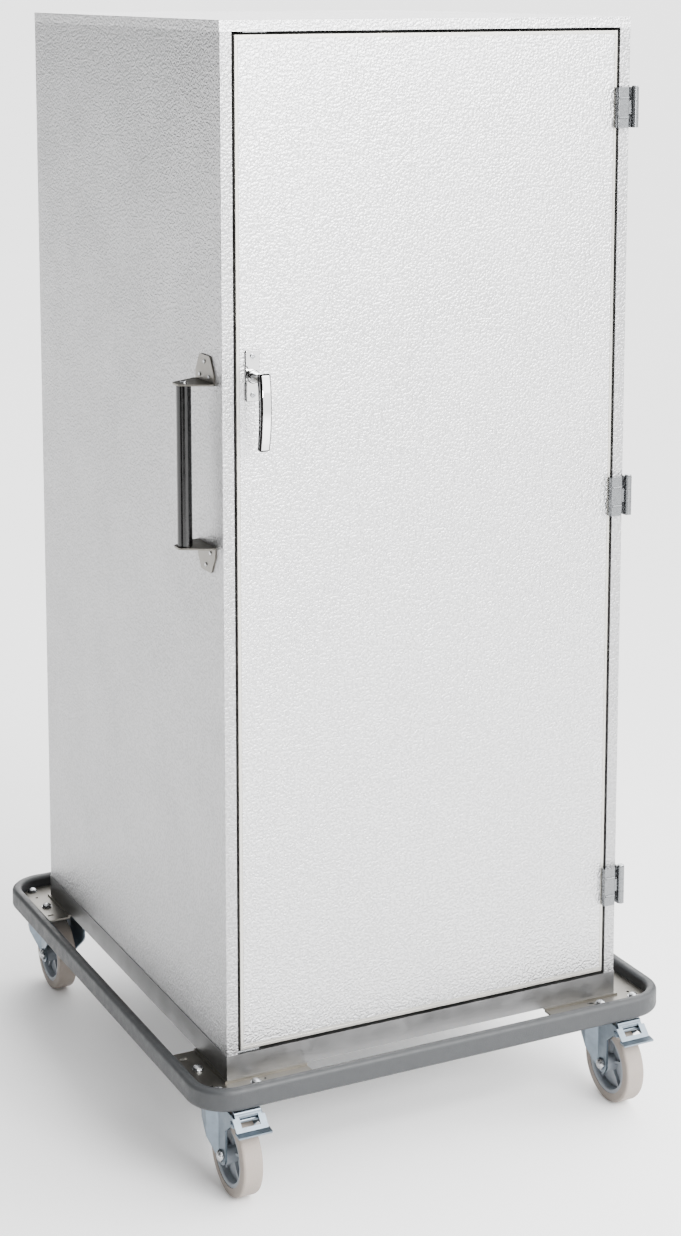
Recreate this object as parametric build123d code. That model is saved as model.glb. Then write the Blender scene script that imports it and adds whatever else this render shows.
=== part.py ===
"""A tall closed housekeeping cart: a sheet metal cabinet with one hinged door, on four castors inside a
bumper ring. Millimetres, +Z up, +Y from the door to the back, origin on the floor below the middle."""

import math
import os

from build123d import *

os.makedirs("parts", exist_ok=True)

# ---- Cabinet ----
body_width = 674.0
body_depth = 780.0
body_top = 1720.0
wall = 18.0  # depth of the folded wall panels
sheet = 1.5  # outer aluminium sheet
liner = 1.2  # inner sheet that closes each wall
liner_play = 0.2
panel_edge = 1.0  # fold radius on the outside of the panels
roof_height = 16.0
plinth_bottom = 169.0
plinth_height = 36.0
plinth_proud = 1.0
plinth_sheet = 2.0
plinth_flange = 45.0  # inward flange that carries walls, frame and floor

# ---- Door ----
door_gap = 4.5
door_depth = 28.0
door_sheet = 1.5
seal_depth = 7.7
seal_width = 14.0
seal_play = 0.3
frame_sheet = 2.0
frame_width = 22.0
frame_depth = 20.0
hem_inset = 4.5  # folded line just inside the door's edge
hem_line = 0.8
hem_depth = 0.5
door_swing_room = 0.3

# ---- Hinges ----
hinge_height = 61.0
hinge_from_bottom = 142.5
hinge_from_top = 115.5
hinge_above_middle = 30.0
hinge_leaf = 2.5
pin_radius = 3.0
pin_out = 6.0  # pin axis outside the side face, and in front of the front face
knuckle_wall = 3.0
pin_play = 0.05
knuckle_play = 0.3
block_width = 20.0
block_proud = 10.0
block_overlap = 3.5
hinge_leaf_reach = 40.0  # how far the cabinet leaf reaches along the side wall
block_rib = 2.0

# ---- Lock and lever ----
lever_height = 1219.0
lever_inset = 46.5  # lever axis from the left side face
lock_plate_width = 22.0
lock_plate_height = 74.0
lock_plate_thick = 3.0
lock_plate_drop = 36.0  # lever axis to the plate's lower edge
lock_screw_gap = 28.0
hub_radius = 10.0
neck_radius = 7.5
neck_length = 31.0  # from the lock plate to the back of the grip
grip_width = 17.0
grip_thick = 13.0
grip_length = 112.0
grip_above = 10.0
grip_bow = 5.0
spindle_radius = 4.0
spindle_play = 0.1
lock_case_width = 44.0
lock_case_height = 90.0
lock_case_depth = 20.0
rod_radius = 4.5
rod_offset = 10.0  # each rod beside the lever axis, also the pitch radius that drives it
rod_play = 0.4
rod_rest_back = 0.5
keeper_thick = 1.2
keeper_width = 36.0
keeper_depth = 16.0

# ---- Push handle on the left side ----
handle_from_front = 56.5
handle_height = 1086.5
handle_span = 241.0
handle_sheet = 2.5
handle_foot_root = 67.0
handle_foot_tip = 37.0
handle_foot_height = 38.0
handle_arm_reach = 49.0
handle_nose = 22.0
handle_tube_radius = 11.0
handle_tube_out = 35.0
rivet_radius = 3.2
rivet_head = 1.6
rivet_shank = 2.0

# ---- Bumper ring ----
bumper_reach = 67.0
bumper_thick = 17.0
bumper_height = 34.0
bumper_bottom = 151.0
bumper_corner = 62.0
bumper_edge = 7.0

# ---- Corner plates ----
corner_sheet = 3.0
corner_step = 3.0
corner_lip = 5.0  # how far the raised part stands out past the body
corner_arm_x = 122.0  # reach inward from the castor's middle
corner_arm_y = 98.0
corner_arm_wide = 74.0  # how far each arm reaches under the body
corner_flange = 12.0
bumper_screw_radius = 2.5
slot_length = 12.0
slot_width = 6.0

# ---- Castors ----
castor_inset_x = 7.0
front_inset = 17.0
rear_inset = 4.0
castor_plate_x = 85.0
castor_plate_y = 100.0
castor_plate_thick = 5.0
castor_plate_round = 20.0
bolt_gap_x = 61.0
bolt_gap_y = 77.0
bolt_radius = 4.0
bolt_hole = 4.4
nut_play = 0.05
bolt_across = 13.0
bolt_head = 5.5
nut_height = 6.5
wheel_radius = 62.5
tyre_width = 32.0
tyre_thick = 14.0
tyre_round = 4.5
rim_lip = 6.5
rim_width = 30.0
web_thick = 6.0
wheel_hub_radius = 14.0
hub_side_play = 0.25
rib_count = 5
rib_thick = 4.0
axle_radius = 5.0
axle_play = 0.05
axle_head = 8.0
axle_across = 17.0
fork_sheet = 3.0
fork_half = 21.5  # inside of the legs at the axle, from the wheel's middle
fork_flare = 36.0  # outside of the flared part of the legs, from the wheel's middle
fork_end_radius = 14.0
trail = 35.0
crown_radius = 37.0
crown_bottom = 137.0
race_radius = 31.0
king_radius = 7.0
king_head = 3.0
swivel_play = 0.3
rear_leg_half = 50.0

# ---- Brake pedals, measured from the wheel axle towards the front ----
pedal_half = 25.5
pedal_neck_half = 21.0  # between the fork's front arms
pedal_play = 2.0  # in front of the fork's front arms
pedal_sheet = 2.5
pedal_bar_out = 37.0
pedal_bar_height = 142.5
pedal_bar_radius = 4.0
pedal_low_out = 57.0
pedal_low_height = 124.0
pedal_tip_out = 70.0
pedal_pin_out = 36.0
pedal_pin_height = 130.0
pedal_pin_radius = 3.0
pedal_window_half = 15.0

# ---- Shelves ----
shelf_count = 3
shelf_sheet = 1.2
shelf_edge = 20.0
shelf_front_back = 62.0
upright_width = 25.0
upright_depth = 12.0
upright_sheet = 1.5
upright_from_end = 110.0
upright_slot_pitch = 75.0
upright_slot_height = 12.0
upright_slot_width = 5.0
shelf_play = 0.5
clip_size = 14.0

# ---- Derived places ----
plinth_top = plinth_bottom + plinth_height
roof_bottom = body_top - roof_height
front_reach = max(bumper_reach, trail + pedal_tip_out - front_inset)
rear_reach = max(bumper_reach, wheel_radius - rear_inset)
front = (front_reach - body_depth - rear_reach) / 2
back = front + body_depth
right = body_width / 2
left = -right
inside = right - wall  # half width between the side walls
door_left = -inside + door_gap
door_right = inside - door_gap
door_bottom = plinth_top + door_gap
door_top = roof_bottom - door_gap
door_back = front + door_depth
seal_front = door_back + seal_play
frame_front = seal_front + seal_depth
frame_back = frame_front + frame_depth
hinge_x = right + pin_out
hinge_y = front - pin_out
hinge_places = [
    door_bottom + hinge_from_bottom,
    (door_bottom + door_top) / 2 + hinge_above_middle,
    door_top - hinge_from_top,
]
lever_x = left + lever_inset
rod_y = front + door_depth / 2
castor_x = right - castor_inset_x
swivel_y = front + front_inset
rear_axle_y = back - rear_inset
plate_low = plinth_bottom - corner_sheet - corner_step  # underside of the corner plates' lower level
castor_top = plate_low
castor_under = castor_top - castor_plate_thick
axle_z = wheel_radius
far = 5000.0


def block(x, y, z):
    """A box between two values on each axis."""
    size = [b - a for a, b in (x, y, z)]
    middle = [(a + b) / 2 for a, b in (x, y, z)]
    return Pos(*middle) * Box(*size)


def rod_x(radius, x, y, z):
    """A cylinder along X between two values."""
    return Pos((x[0] + x[1]) / 2, y, z) * Rot(0, 90, 0) * Cylinder(radius, x[1] - x[0])


def rod_along_y(radius, x, y, z):
    """A cylinder along Y between two values."""
    return Pos(x, (y[0] + y[1]) / 2, z) * Rot(90, 0, 0) * Cylinder(radius, y[1] - y[0])


def rod_z(radius, x, y, z):
    """A cylinder along Z between two values."""
    return Pos(x, y, (z[0] + z[1]) / 2) * Cylinder(radius, z[1] - z[0])


def plate_yz(points, x):
    """An outline in Y and Z, extruded between two values of X."""
    face = Plane.YZ * make_face(Polyline(*points, close=True))
    return Pos(x[0], 0, 0) * extrude(face, x[1] - x[0])


def plate_xy(points, z):
    """An outline in X and Y, extruded between two values of Z."""
    face = make_face(Polyline(*points, close=True))
    return Pos(0, 0, z[0]) * extrude(face, z[1] - z[0])


def prism_z(across, x, y, z):
    """A hexagonal prism along Z, given its width across flats."""
    hexagon = RegularPolygon(across / 2, 6, major_radius=False)
    return Pos(x, y, z[0]) * extrude(hexagon, z[1] - z[0])


def prism_x(across, x, y, z):
    """A hexagonal prism along X, given its width across flats."""
    hexagon = Plane.YZ * RegularPolygon(across / 2, 6, major_radius=False)
    return Pos(x[0], y, z) * extrude(hexagon, x[1] - x[0])


def grow(span, by):
    """A span made longer by the same amount at both ends, or shorter if it is negative."""
    return (span[0] - by, span[1] + by)


def pan(x, y, z, thick, axis, side):
    """A folded sheet pan, open on one side: axis is 0, 1 or 2 and side is -1 or 1."""
    spans = [grow(span, -thick) for span in (x, y, z)]
    low, high = spans[axis]
    spans[axis] = (low, far) if side > 0 else (-far, high)
    return block(x, y, z) - block(*spans)


def group(solids):
    """Separate solids that share one node."""
    return Compound(children=list(solids))


def mirrored_x(solid):
    return mirror(solid, about=Plane.YZ)


def save(name, shape):
    export_step(shape, f"parts/{name}.step")


# ---- Cabinet ----
def at_plane(axis, value):
    """A test for edges that lie in one plane across an axis."""

    def test(edge):
        box = edge.bounding_box()
        low = tuple(box.min)[axis]
        high = tuple(box.max)[axis]
        return abs(low - value) < 1e-4 and abs(high - value) < 1e-4

    return test


def side_panel():
    """The left wall: an outer sheet with its four edges folded inwards."""
    span_y = (front, back)
    panel = pan((left, -inside), span_y, (plinth_top, roof_bottom), sheet, 0, 1)
    return fillet(panel.edges().filter_by(at_plane(0, left)).filter_by(Axis.Z), panel_edge)


def left_panel():
    """The left wall, bored for the rivets of the push handle."""
    panel = side_panel()
    for end in (-1, 1):
        for y, z in handle_rivet_places(end):
            panel = panel - rod_x(rivet_shank, (left - 1, left + sheet + 1), y, z)
    return panel


def right_panel():
    """The right wall, bored for the hinge screws."""
    panel = mirrored_x(side_panel())
    for hinge in hinge_places:
        for y, z in hinge_screw_places(hinge):
            panel = panel - rod_x(rivet_shank, (right - sheet - 1, right + 1), y, z)
    return panel


def side_liner():
    z = grow((plinth_top, roof_bottom), -sheet - liner_play)
    return block((-inside - liner, -inside), grow((front, back), -sheet - liner_play), z)


def back_panel():
    return pan((-inside, inside), (back - wall, back), (plinth_top, roof_bottom), sheet, 1, -1)


def back_liner():
    play = -sheet - liner_play
    x = grow((-inside, inside), play)
    z = grow((plinth_top, roof_bottom), play)
    return block(x, (back - wall, back - wall + liner), z)


def roof_panel():
    roof = pan((left, right), (front, back), (roof_bottom, body_top), sheet, 2, -1)
    return fillet(roof.edges().filter_by(at_plane(2, body_top)), panel_edge)


def rod_place(side):
    """X of the upper rod (side 1) or the lower rod (side -1)."""
    return lever_x + side * rod_offset


def roof_liner():
    play = -sheet - liner_play
    x = grow((left, right), play)
    y = grow((front, back), play)
    sheet_block = block(x, y, (roof_bottom, roof_bottom + liner))
    return sheet_block - rod_z(rod_radius + 2 * rod_play, rod_place(1), rod_y, (0, far))


def base_plinth():
    """A stainless pan below the walls, with an inward flange round its open top."""
    x = grow((left, right), plinth_proud)
    y = grow((front, back), plinth_proud)
    z = (plinth_bottom, plinth_top)
    outer = block(x, y, z)
    outer = fillet(outer.edges().filter_by(Axis.Z), plinth_proud)
    inner = block(*[grow(span, -plinth_sheet) for span in (x, y, z)])
    above = (plinth_bottom + plinth_sheet, far)
    window = block(grow((left, right), -plinth_flange), grow((front, back), -plinth_flange), above)
    solid = outer - inner - window - rod_z(rod_radius + 2 * rod_play, rod_place(-1), rod_y, above)
    for x, y, raised in bolt_places():
        if raised:
            solid = solid - rod_z(bolt_hole, x, y, (plinth_bottom - 1, plinth_bottom + plinth_sheet + 1))
    return solid


def floor_panel():
    y = (frame_back + liner_play, back - wall)
    return block((-inside, inside), y, (plinth_top, plinth_top + sheet))


def door_frame():
    """The rim that the door shuts against, with its edges folded back along the walls."""
    x = (-inside, inside)
    z = (plinth_top, roof_bottom)
    solid = block(x, (frame_front, frame_back), z)
    solid = solid - block(grow(x, -frame_sheet), (frame_front + frame_sheet, far), grow(z, -frame_sheet))
    return solid - block(grow(x, -frame_width), (frame_front - 1, far), grow(z, -frame_width))


def door_seal():
    x = (-inside, inside)
    z = (plinth_top, roof_bottom)
    ring = block(x, (seal_front, frame_front), z)
    ring = fillet(ring.edges().filter_by(at_plane(1, seal_front)), seal_depth / 3)
    return ring - block(grow(x, -seal_width), (seal_front - 1, far), grow(z, -seal_width))


# ---- Door ----
def door_skin():
    """The outer pan of the door, with a folded line near its edge and holes for the lock."""
    x = (door_left, door_right)
    z = (door_bottom, door_top)
    solid = pan(x, (front, door_back), z, door_sheet, 1, 1)
    solid = fillet(solid.edges().filter_by(at_plane(1, front)), panel_edge)
    line = (front - 1, front + hem_depth)
    groove = block(grow(x, -hem_inset), line, grow(z, -hem_inset))
    groove = groove - block(grow(x, -hem_inset - hem_line), line, grow(z, -hem_inset - hem_line))
    solid = solid - groove
    solid = solid - rod_z(rod_radius + rod_play, rod_place(1), rod_y, (lever_height, far))
    solid = solid - rod_z(rod_radius + rod_play, rod_place(-1), rod_y, (0, lever_height))
    solid = solid - rod_along_y(spindle_radius + spindle_play, lever_x, (front - 1, rod_y), lever_height)
    for z in screw_heights():
        solid = solid - rod_along_y(rivet_shank, lever_x, (front - 1, rod_y), z)
    return solid


def door_liner():
    play = -door_sheet - liner_play
    x = grow((door_left, door_right), play)
    return block(x, (door_back - liner, door_back), grow((door_bottom, door_top), play))


def hinge_span(z):
    return (z - hinge_height / 2, z + hinge_height / 2)


def hinge_middle(z, play):
    """The height of the door's knuckle, the middle third of a hinge."""
    half = hinge_height / 6 + play
    return (z - half, z + half)


def hinge_door_leaf(z):
    """The leaf on the door: a strap on the door's edge, a ribbed block and one knuckle."""
    block_left = door_right - block_overlap
    block_right = block_left + block_width
    span = hinge_span(z)
    face = (front - block_proud, front)
    leaf = block((block_left, block_right), face, span)
    leaf = fillet(leaf.edges().filter_by(Axis.Z), block_rib)
    leaf = leaf - block((door_right + hinge_leaf, far), (front - door_swing_room - 0.5, far), span)
    leaf = leaf + block((door_right, door_right + hinge_leaf), (front - 2, door_back - hinge_leaf), span)
    for share in (-0.24, 0.24):
        place = (block_left + 2, block_right - 2)
        rib = rod_x(block_rib, place, front - block_proud, z + share * hinge_height)
        leaf = leaf + rib
    middle = hinge_middle(z, -knuckle_play)
    arm = (hinge_y, hinge_y + knuckle_wall)
    leaf = leaf + block((block_right - 2, hinge_x), arm, middle)
    leaf = leaf + rod_z(pin_radius + knuckle_wall, hinge_x, hinge_y, middle)
    return leaf - rod_z(pin_radius + pin_play, hinge_x, hinge_y, span)


def hinge_body_leaf(z):
    """The leaf on the cabinet: a plate on the side wall and two knuckles."""
    span = hinge_span(z)
    reach = (hinge_y, front + hinge_leaf_reach)
    leaf = block((right, right + hinge_leaf), reach, span)
    leaf = leaf + rod_z(pin_radius + knuckle_wall, hinge_x, hinge_y, span)
    room = (hinge_y - far, front + 1.5)
    leaf = leaf - block((right - 1, far), room, hinge_middle(z, 0))
    leaf = leaf - rod_z(pin_radius, hinge_x, hinge_y, span)
    for y, height in hinge_screw_places(z):
        leaf = leaf - rod_x(rivet_shank, (right - 1, far), y, height)
    return leaf


def hinge_screw_places(z):
    y = front + hinge_leaf_reach / 2
    return [(y, z - hinge_height / 3), (y + hinge_leaf_reach / 4, z), (y, z + hinge_height / 3)]


def hinge_pin(z):
    low, high = hinge_span(z)
    pin = rod_z(pin_radius, hinge_x, hinge_y, (low, high))
    head = rod_z(pin_radius + knuckle_wall - 1, hinge_x, hinge_y, (high, high + 2.5))
    return pin + fillet(head.edges(), 0.8)


def pan_screw(axis_place, reach):
    """A pan head screw along +Y from its seat, with a cross recess."""
    x, y, z = axis_place
    head = rod_along_y(2 * rivet_shank, x, (y - rivet_shank, y), z)
    head = fillet(head.edges().filter_by(at_plane(1, y - rivet_shank)), 1.2)
    screw = head + rod_along_y(rivet_shank, x, (y, y + reach), z)
    depth = (y - far, y - 0.9)
    screw = screw - block((x - 2.4, x + 2.4), depth, (z - 0.45, z + 0.45))
    return screw - block((x - 0.45, x + 0.45), depth, (z - 2.4, z + 2.4))


def screw_heights():
    middle = lever_height - lock_plate_drop + lock_plate_height / 2
    return [middle - lock_screw_gap, middle + lock_screw_gap]


def lock_plate():
    x = (lever_x - lock_plate_width / 2, lever_x + lock_plate_width / 2)
    low = lever_height - lock_plate_drop
    plate = block(x, (front - lock_plate_thick, front), (low, low + lock_plate_height))
    plate = fillet(plate.edges().filter_by(Axis.Y), 3)
    plate = fillet(plate.edges().filter_by(at_plane(1, front - lock_plate_thick)), 1)
    plate = plate - rod_along_y(spindle_radius + spindle_play, lever_x, (front - far, far), lever_height)
    for z in screw_heights():
        plate = plate - rod_along_y(rivet_shank, lever_x, (front - far, far), z)
    return plate


def lock_plate_screw(z):
    return pan_screw((lever_x, front - lock_plate_thick, z), lock_plate_thick + door_sheet + 3)


def lock_case():
    """The case behind the lever, bored for its spindle and for both rods."""
    y = (front + door_sheet, front + door_sheet + lock_case_depth)
    x = (lever_x - lock_case_width / 2, lever_x + lock_case_width / 2)
    half = lock_case_height / 2
    case = block(x, y, (lever_height - half, lever_height + half))
    case = fillet(case.edges().filter_by(Axis.Z), 2)
    for side in (-1, 1):
        case = case - rod_z(rod_radius + rod_play, rod_place(side), rod_y, (0, far))
    case = case - rod_along_y(spindle_radius + spindle_play, lever_x, (front, far), lever_height)
    for z in screw_heights():
        case = case - rod_along_y(rivet_shank, lever_x, (front, far), z)
    return case


def door_lever():
    """Hub, neck, bowed hanging grip and the spindle that enters the lock case."""
    hub_back = front - lock_plate_thick - seal_play
    hub_front = hub_back - 5
    neck_end = front - lock_plate_thick - neck_length
    lever = rod_along_y(hub_radius, lever_x, (hub_front, hub_back), lever_height)
    lever = fillet(lever.edges().filter_by(at_plane(1, hub_front)), 1.5)
    lever = lever + rod_along_y(neck_radius, lever_x, (neck_end - 3, hub_front), lever_height)
    top = lever_height + grip_above
    low = top - grip_length
    mid = (top + low) / 2
    near = neck_end
    out = neck_end - grip_thick
    outline = [
        ThreePointArc((near, top), (near - grip_bow, mid), (near, low)),
        Line((near, low), (out + 3, low)),
        ThreePointArc((out + 3, low), (out - grip_bow, mid), (out, top)),
        Line((out, top), (near, top)),
    ]
    face = Plane.YZ * make_face(outline)
    grip = Pos(lever_x - grip_width / 2, 0, 0) * extrude(face, grip_width)
    grip = fillet(grip.edges(), 3.5)
    spindle = (hub_back - 1, front + door_sheet + lock_case_depth - 1)
    return lever + grip + rod_along_y(spindle_radius, lever_x, spindle, lever_height)


def lock_rod(side):
    """A round bolt bar from the lock case to just inside the door's top or bottom edge."""
    overlap = lock_case_height / 3
    if side > 0:
        span = (lever_height - overlap, door_top - rod_rest_back)
    else:
        span = (door_bottom + rod_rest_back, lever_height + overlap)
    bar = rod_z(rod_radius, rod_place(side), rod_y, span)
    return chamfer(bar.edges(), 1)


def keeper(side):
    """A thin plate with a hole that takes the end of a lock rod."""
    z = (roof_bottom - keeper_thick, roof_bottom) if side > 0 else (plinth_top, plinth_top + keeper_thick)
    x = rod_place(side)
    wide = (x - keeper_width / 2, x + keeper_width / 2)
    plate = block(wide, (rod_y - keeper_depth / 2, rod_y + keeper_depth / 2), z)
    return plate - rod_z(rod_radius + 2 * rod_play, x, rod_y, (0, far))


# ---- Push handle ----
def handle_rivet_places(side):
    """Y and Z of a bracket's rivets: two near its bend and one near its tip."""
    root = handle_height + side * handle_span / 2
    wide = handle_foot_root / 4
    near = root + side * 8
    return [
        (handle_y - wide, near),
        (handle_y + wide, near),
        (handle_y, root + side * 0.75 * handle_foot_height),
    ]


def handle_bracket(side):
    """One bent bracket: a tapered foot on the wall and an arm with a rounded nose."""
    root = handle_height + side * handle_span / 2
    tip = root + side * handle_foot_height
    wide, narrow = handle_foot_root / 2, handle_foot_tip / 2
    foot_points = [
        (handle_y - wide, root - side * handle_sheet),
        (handle_y - wide, root + side * 0.3 * handle_foot_height),
        (handle_y - narrow, tip),
        (handle_y + narrow, tip),
        (handle_y + wide, root + side * 0.3 * handle_foot_height),
        (handle_y + wide, root - side * handle_sheet),
    ]
    foot = plate_yz(foot_points, (left - handle_sheet, left))
    foot = fillet(foot.edges().filter_by(Axis.X).sort_by(Axis.Z, reverse=side > 0)[:2], 6)
    out = left - handle_arm_reach
    nose = handle_nose / 2
    arm_points = [
        (left, handle_y - wide),
        (left - 8, handle_y - wide),
        (out, handle_y - nose),
        (out, handle_y + nose),
        (left - 8, handle_y + wide),
        (left, handle_y + wide),
    ]
    arm = plate_xy(arm_points, sorted((root, root - side * handle_sheet)))
    arm = fillet(arm.edges().filter_by(Axis.Z).sort_by(Axis.X)[:2], nose * 0.8)
    bracket = foot + arm
    for y, z in handle_rivet_places(side):
        bracket = bracket - rod_x(rivet_shank, (left - far, far), y, z)
    return bracket - rod_z(rivet_shank, left - handle_tube_out, handle_y, (0, far))


def handle_grip():
    half = handle_span / 2 - handle_sheet
    x = left - handle_tube_out
    tube = rod_z(handle_tube_radius, x, handle_y, (handle_height - half, handle_height + half))
    tube = chamfer(tube.edges(), 0.8)
    return tube - rod_z(rivet_shank, x, handle_y, (0, far))


def handle_rivet(y, z):
    head = rod_x(rivet_radius, (left - handle_sheet - rivet_head, left - handle_sheet), y, z)
    head = fillet(head.edges().filter_by(at_plane(0, left - handle_sheet - rivet_head)), rivet_head * 0.7)
    return head + rod_x(rivet_shank, (left - handle_sheet, left + sheet), y, z)


def handle_bolt():
    """The long bolt through both arms and the tube."""
    x = left - handle_tube_out
    half = handle_span / 2
    bolt = rod_z(rivet_shank, x, handle_y, (handle_height - half, handle_height + half))
    for side in (-1, 1):
        face = handle_height + side * half
        head = rod_z(2.5 * rivet_shank, x, handle_y, sorted((face, face + side * 2.5)))
        bolt = bolt + fillet(head.edges().filter_by(at_plane(2, face + side * 2.5)), 1.2)
    return bolt


# ---- Bumper and corner plates ----
def bumper_ring():
    wide = body_width + 2 * bumper_reach
    deep = body_depth + 2 * bumper_reach
    inset = 2 * bumper_thick
    middle = (front + back) / 2
    ring = RectangleRounded(wide, deep, bumper_corner)
    ring = ring - RectangleRounded(wide - inset, deep - inset, bumper_corner - bumper_thick)
    solid = Pos(0, middle, bumper_bottom) * extrude(ring, bumper_height)
    solid = fillet(solid.edges().filter_by(lambda edge: edge.bounding_box().size.Z < 1e-4), bumper_edge)
    for x, y, turn in bumper_screw_places():
        solid = solid - bumper_screw_shank(x, y, turn)
    return solid


def bumper_screw_places():
    """Each corner plate is screwed to the bumper once on its side and once on its front or back."""
    inner = bumper_reach - bumper_thick
    along = corner_arm_y * 0.5
    places = []
    for side in (-1, 1):
        x_face = side * (right + inner)
        places.append((x_face, swivel_y + along, "x"))
        places.append((x_face, rear_axle_y - along, "x"))
        x_along = side * (castor_x - corner_arm_x * 0.7)
        places.append((x_along, front - inner, "y"))
        places.append((x_along, back + inner, "y"))
    return places


def screw_height():
    return plate_low - (corner_flange - corner_sheet) / 2


def bumper_screw_shank(x, y, turn):
    depth = 0.6 * bumper_thick
    if turn == "x":
        ends = sorted((x - math.copysign(corner_sheet, x), x + math.copysign(depth, x)))
        return rod_x(bumper_screw_radius, ends, y, screw_height())
    out = math.copysign(1, y)
    ends = sorted((y - out * corner_sheet, y + out * depth))
    return rod_along_y(bumper_screw_radius, x, ends, screw_height())


def bumper_screw(x, y, turn):
    shank = bumper_screw_shank(x, y, turn)
    head = 1.6 * bumper_screw_radius
    if turn == "x":
        out = math.copysign(1, x)
        seat = x - out * corner_sheet
        return shank + rod_x(head, sorted((seat, seat - out * 3)), y, screw_height())
    out = math.copysign(1, y)
    seat = y - out * corner_sheet
    return shank + rod_along_y(head, x, sorted((seat, seat - out * 3)), screw_height())


def corner_plate(inset, sign):
    """The left plate at the front (sign 1) or back (sign -1): an L that steps down outside the body."""
    gap = bumper_reach - bumper_thick
    edge = front if sign > 0 else back

    def place(a, b):
        """A point from distances inward of the side face and of the front or back face."""
        return (left + a, edge + sign * b)

    def slab(a, b, z):
        x, y = zip(place(a[0], b[0]), place(a[1], b[1]))
        return block(sorted(x), sorted(y), z)

    reach_a = castor_inset_x + corner_arm_x
    reach_b = inset + corner_arm_y
    low = (plate_low, plate_low + corner_sheet)
    high = (low[1], low[1] + corner_step)
    full = (low[0], high[1])
    shape = slab((-gap, reach_a), (-gap, corner_arm_wide), full)
    shape = shape + slab((-gap, corner_arm_wide), (-gap, reach_b), full)
    corner = shape.edges().filter_by(Axis.Z).sort_by_distance((*place(-gap, -gap), low[0]))[0]
    shape = fillet(corner, bumper_corner - bumper_thick)
    lip = corner_lip
    inner = slab((-lip, far), (-lip, far), high)
    cut_low = slab((corner_sheet - lip, far), (corner_sheet - lip, far), low)
    outer_top = shape & slab((-far, far), (-far, far), high)
    plate = (shape - outer_top - cut_low) + (outer_top & inner)
    flange = (plate_low + corner_sheet - corner_flange, plate_low)
    plate = plate + slab((-gap, corner_sheet - gap), (0, reach_b), (flange[0], low[1]))
    plate = plate + slab((0, reach_a), (-gap, corner_sheet - gap), (flange[0], low[1]))
    for x, y, raised in castor_bolt_places(left + castor_inset_x, edge + sign * inset):
        plate = plate - rod_z(bolt_hole, x, y, (0, far))
    turned = SlotOverall(slot_length, slot_width)
    side_slot = Pos(*place(-30, inset + 78), 0) * turned
    front_slot = Pos(*place(castor_inset_x + 44, -14), 0) * turned
    plate = plate - extrude(side_slot + front_slot, far) - rod_z(2.5, *place(-26, -3), (0, far))
    for x, y, turn in bumper_screw_places():
        if turn == "x":
            ends = (x - 2 * gap, x + 2 * gap) if x < 0 else (x, x + 1)
            plate = plate - rod_x(bumper_screw_radius, ends, y, screw_height())
        else:
            plate = plate - rod_along_y(bumper_screw_radius, x, (y - gap / 2, y + gap / 2), screw_height())
    return plate


# ---- Castors ----
def castor_places():
    """Middle of each castor's top plate: name, x, y."""
    return [
        ("front_left", -castor_x, swivel_y),
        ("front_right", castor_x, swivel_y),
        ("rear_left", -castor_x, rear_axle_y),
        ("rear_right", castor_x, rear_axle_y),
    ]


def castor_bolt_places(x, y):
    """X and Y of a castor's four bolts, and whether each lies under the body."""
    places = []
    for dx in (-0.5, 0.5):
        for dy in (-0.5, 0.5):
            px, py = x + dx * bolt_gap_x, y + dy * bolt_gap_y
            inward = abs(px) < right and front < py < back
            places.append((px, py, inward))
    return places


def bolt_places():
    return [place for _, x, y in castor_places() for place in castor_bolt_places(x, y)]


def castor_bolt(x, y, raised):
    """A domed hexagon bolt whose nut is below the castor's plate."""
    seat = plinth_bottom + plinth_sheet if raised else plate_low + corner_sheet
    head = prism_z(bolt_across, x, y, (seat + 1.5, seat + 1.5 + bolt_head))
    dome = Pos(x, y, seat + 1.5 + bolt_head - 9.5) * Sphere(9.5)
    head = (head & dome) + rod_z(bolt_across * 0.65, x, y, (seat, seat + 1.5))
    return head + rod_z(bolt_radius, x, y, (castor_under - nut_height, seat))


def castor_nut(x, y):
    nut = prism_z(bolt_across, x, y, (castor_under - nut_height, castor_under))
    return nut - rod_z(bolt_radius + nut_play, x, y, (0, far))


def castor_spacer(x, y):
    ring = rod_z(bolt_across * 0.6, x, y, (plate_low, plate_low + corner_sheet))
    return ring - rod_z(bolt_hole, x, y, (0, far))


def castor_flange():
    """The bolted plate of a castor, about its own middle."""
    outline = RectangleRounded(castor_plate_x, castor_plate_y, castor_plate_round)
    plate = Pos(0, 0, castor_under) * extrude(outline, castor_plate_thick)
    for x, y, _ in castor_bolt_places(0, 0):
        plate = plate - rod_z(bolt_hole, x, y, (0, far))
    return plate


def swivel_plate():
    """Front castor plate with the upper race and the king pin riveted into it."""
    crown_top = crown_bottom + fork_sheet + 1
    race = rod_z(race_radius, 0, 0, (crown_top + swivel_play, castor_under))
    head = (crown_bottom - swivel_play - king_head, crown_bottom - swivel_play)
    king = rod_z(king_radius, 0, 0, (head[0], castor_under))
    rivet = fillet(rod_z(king_radius + 4, 0, 0, head).edges().filter_by(at_plane(2, head[0])), 1.5)
    return castor_flange() + race + king + rivet


def leg_strip(points, side, z):
    """A bent leg seen from above: (distance from the wheel's middle, y) down its inner face."""
    outer = [(side * (x + fork_sheet), y) for x, y in points]
    inner = [(side * x, y) for x, y in reversed(points)]
    return plate_xy(outer + inner, z)


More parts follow.
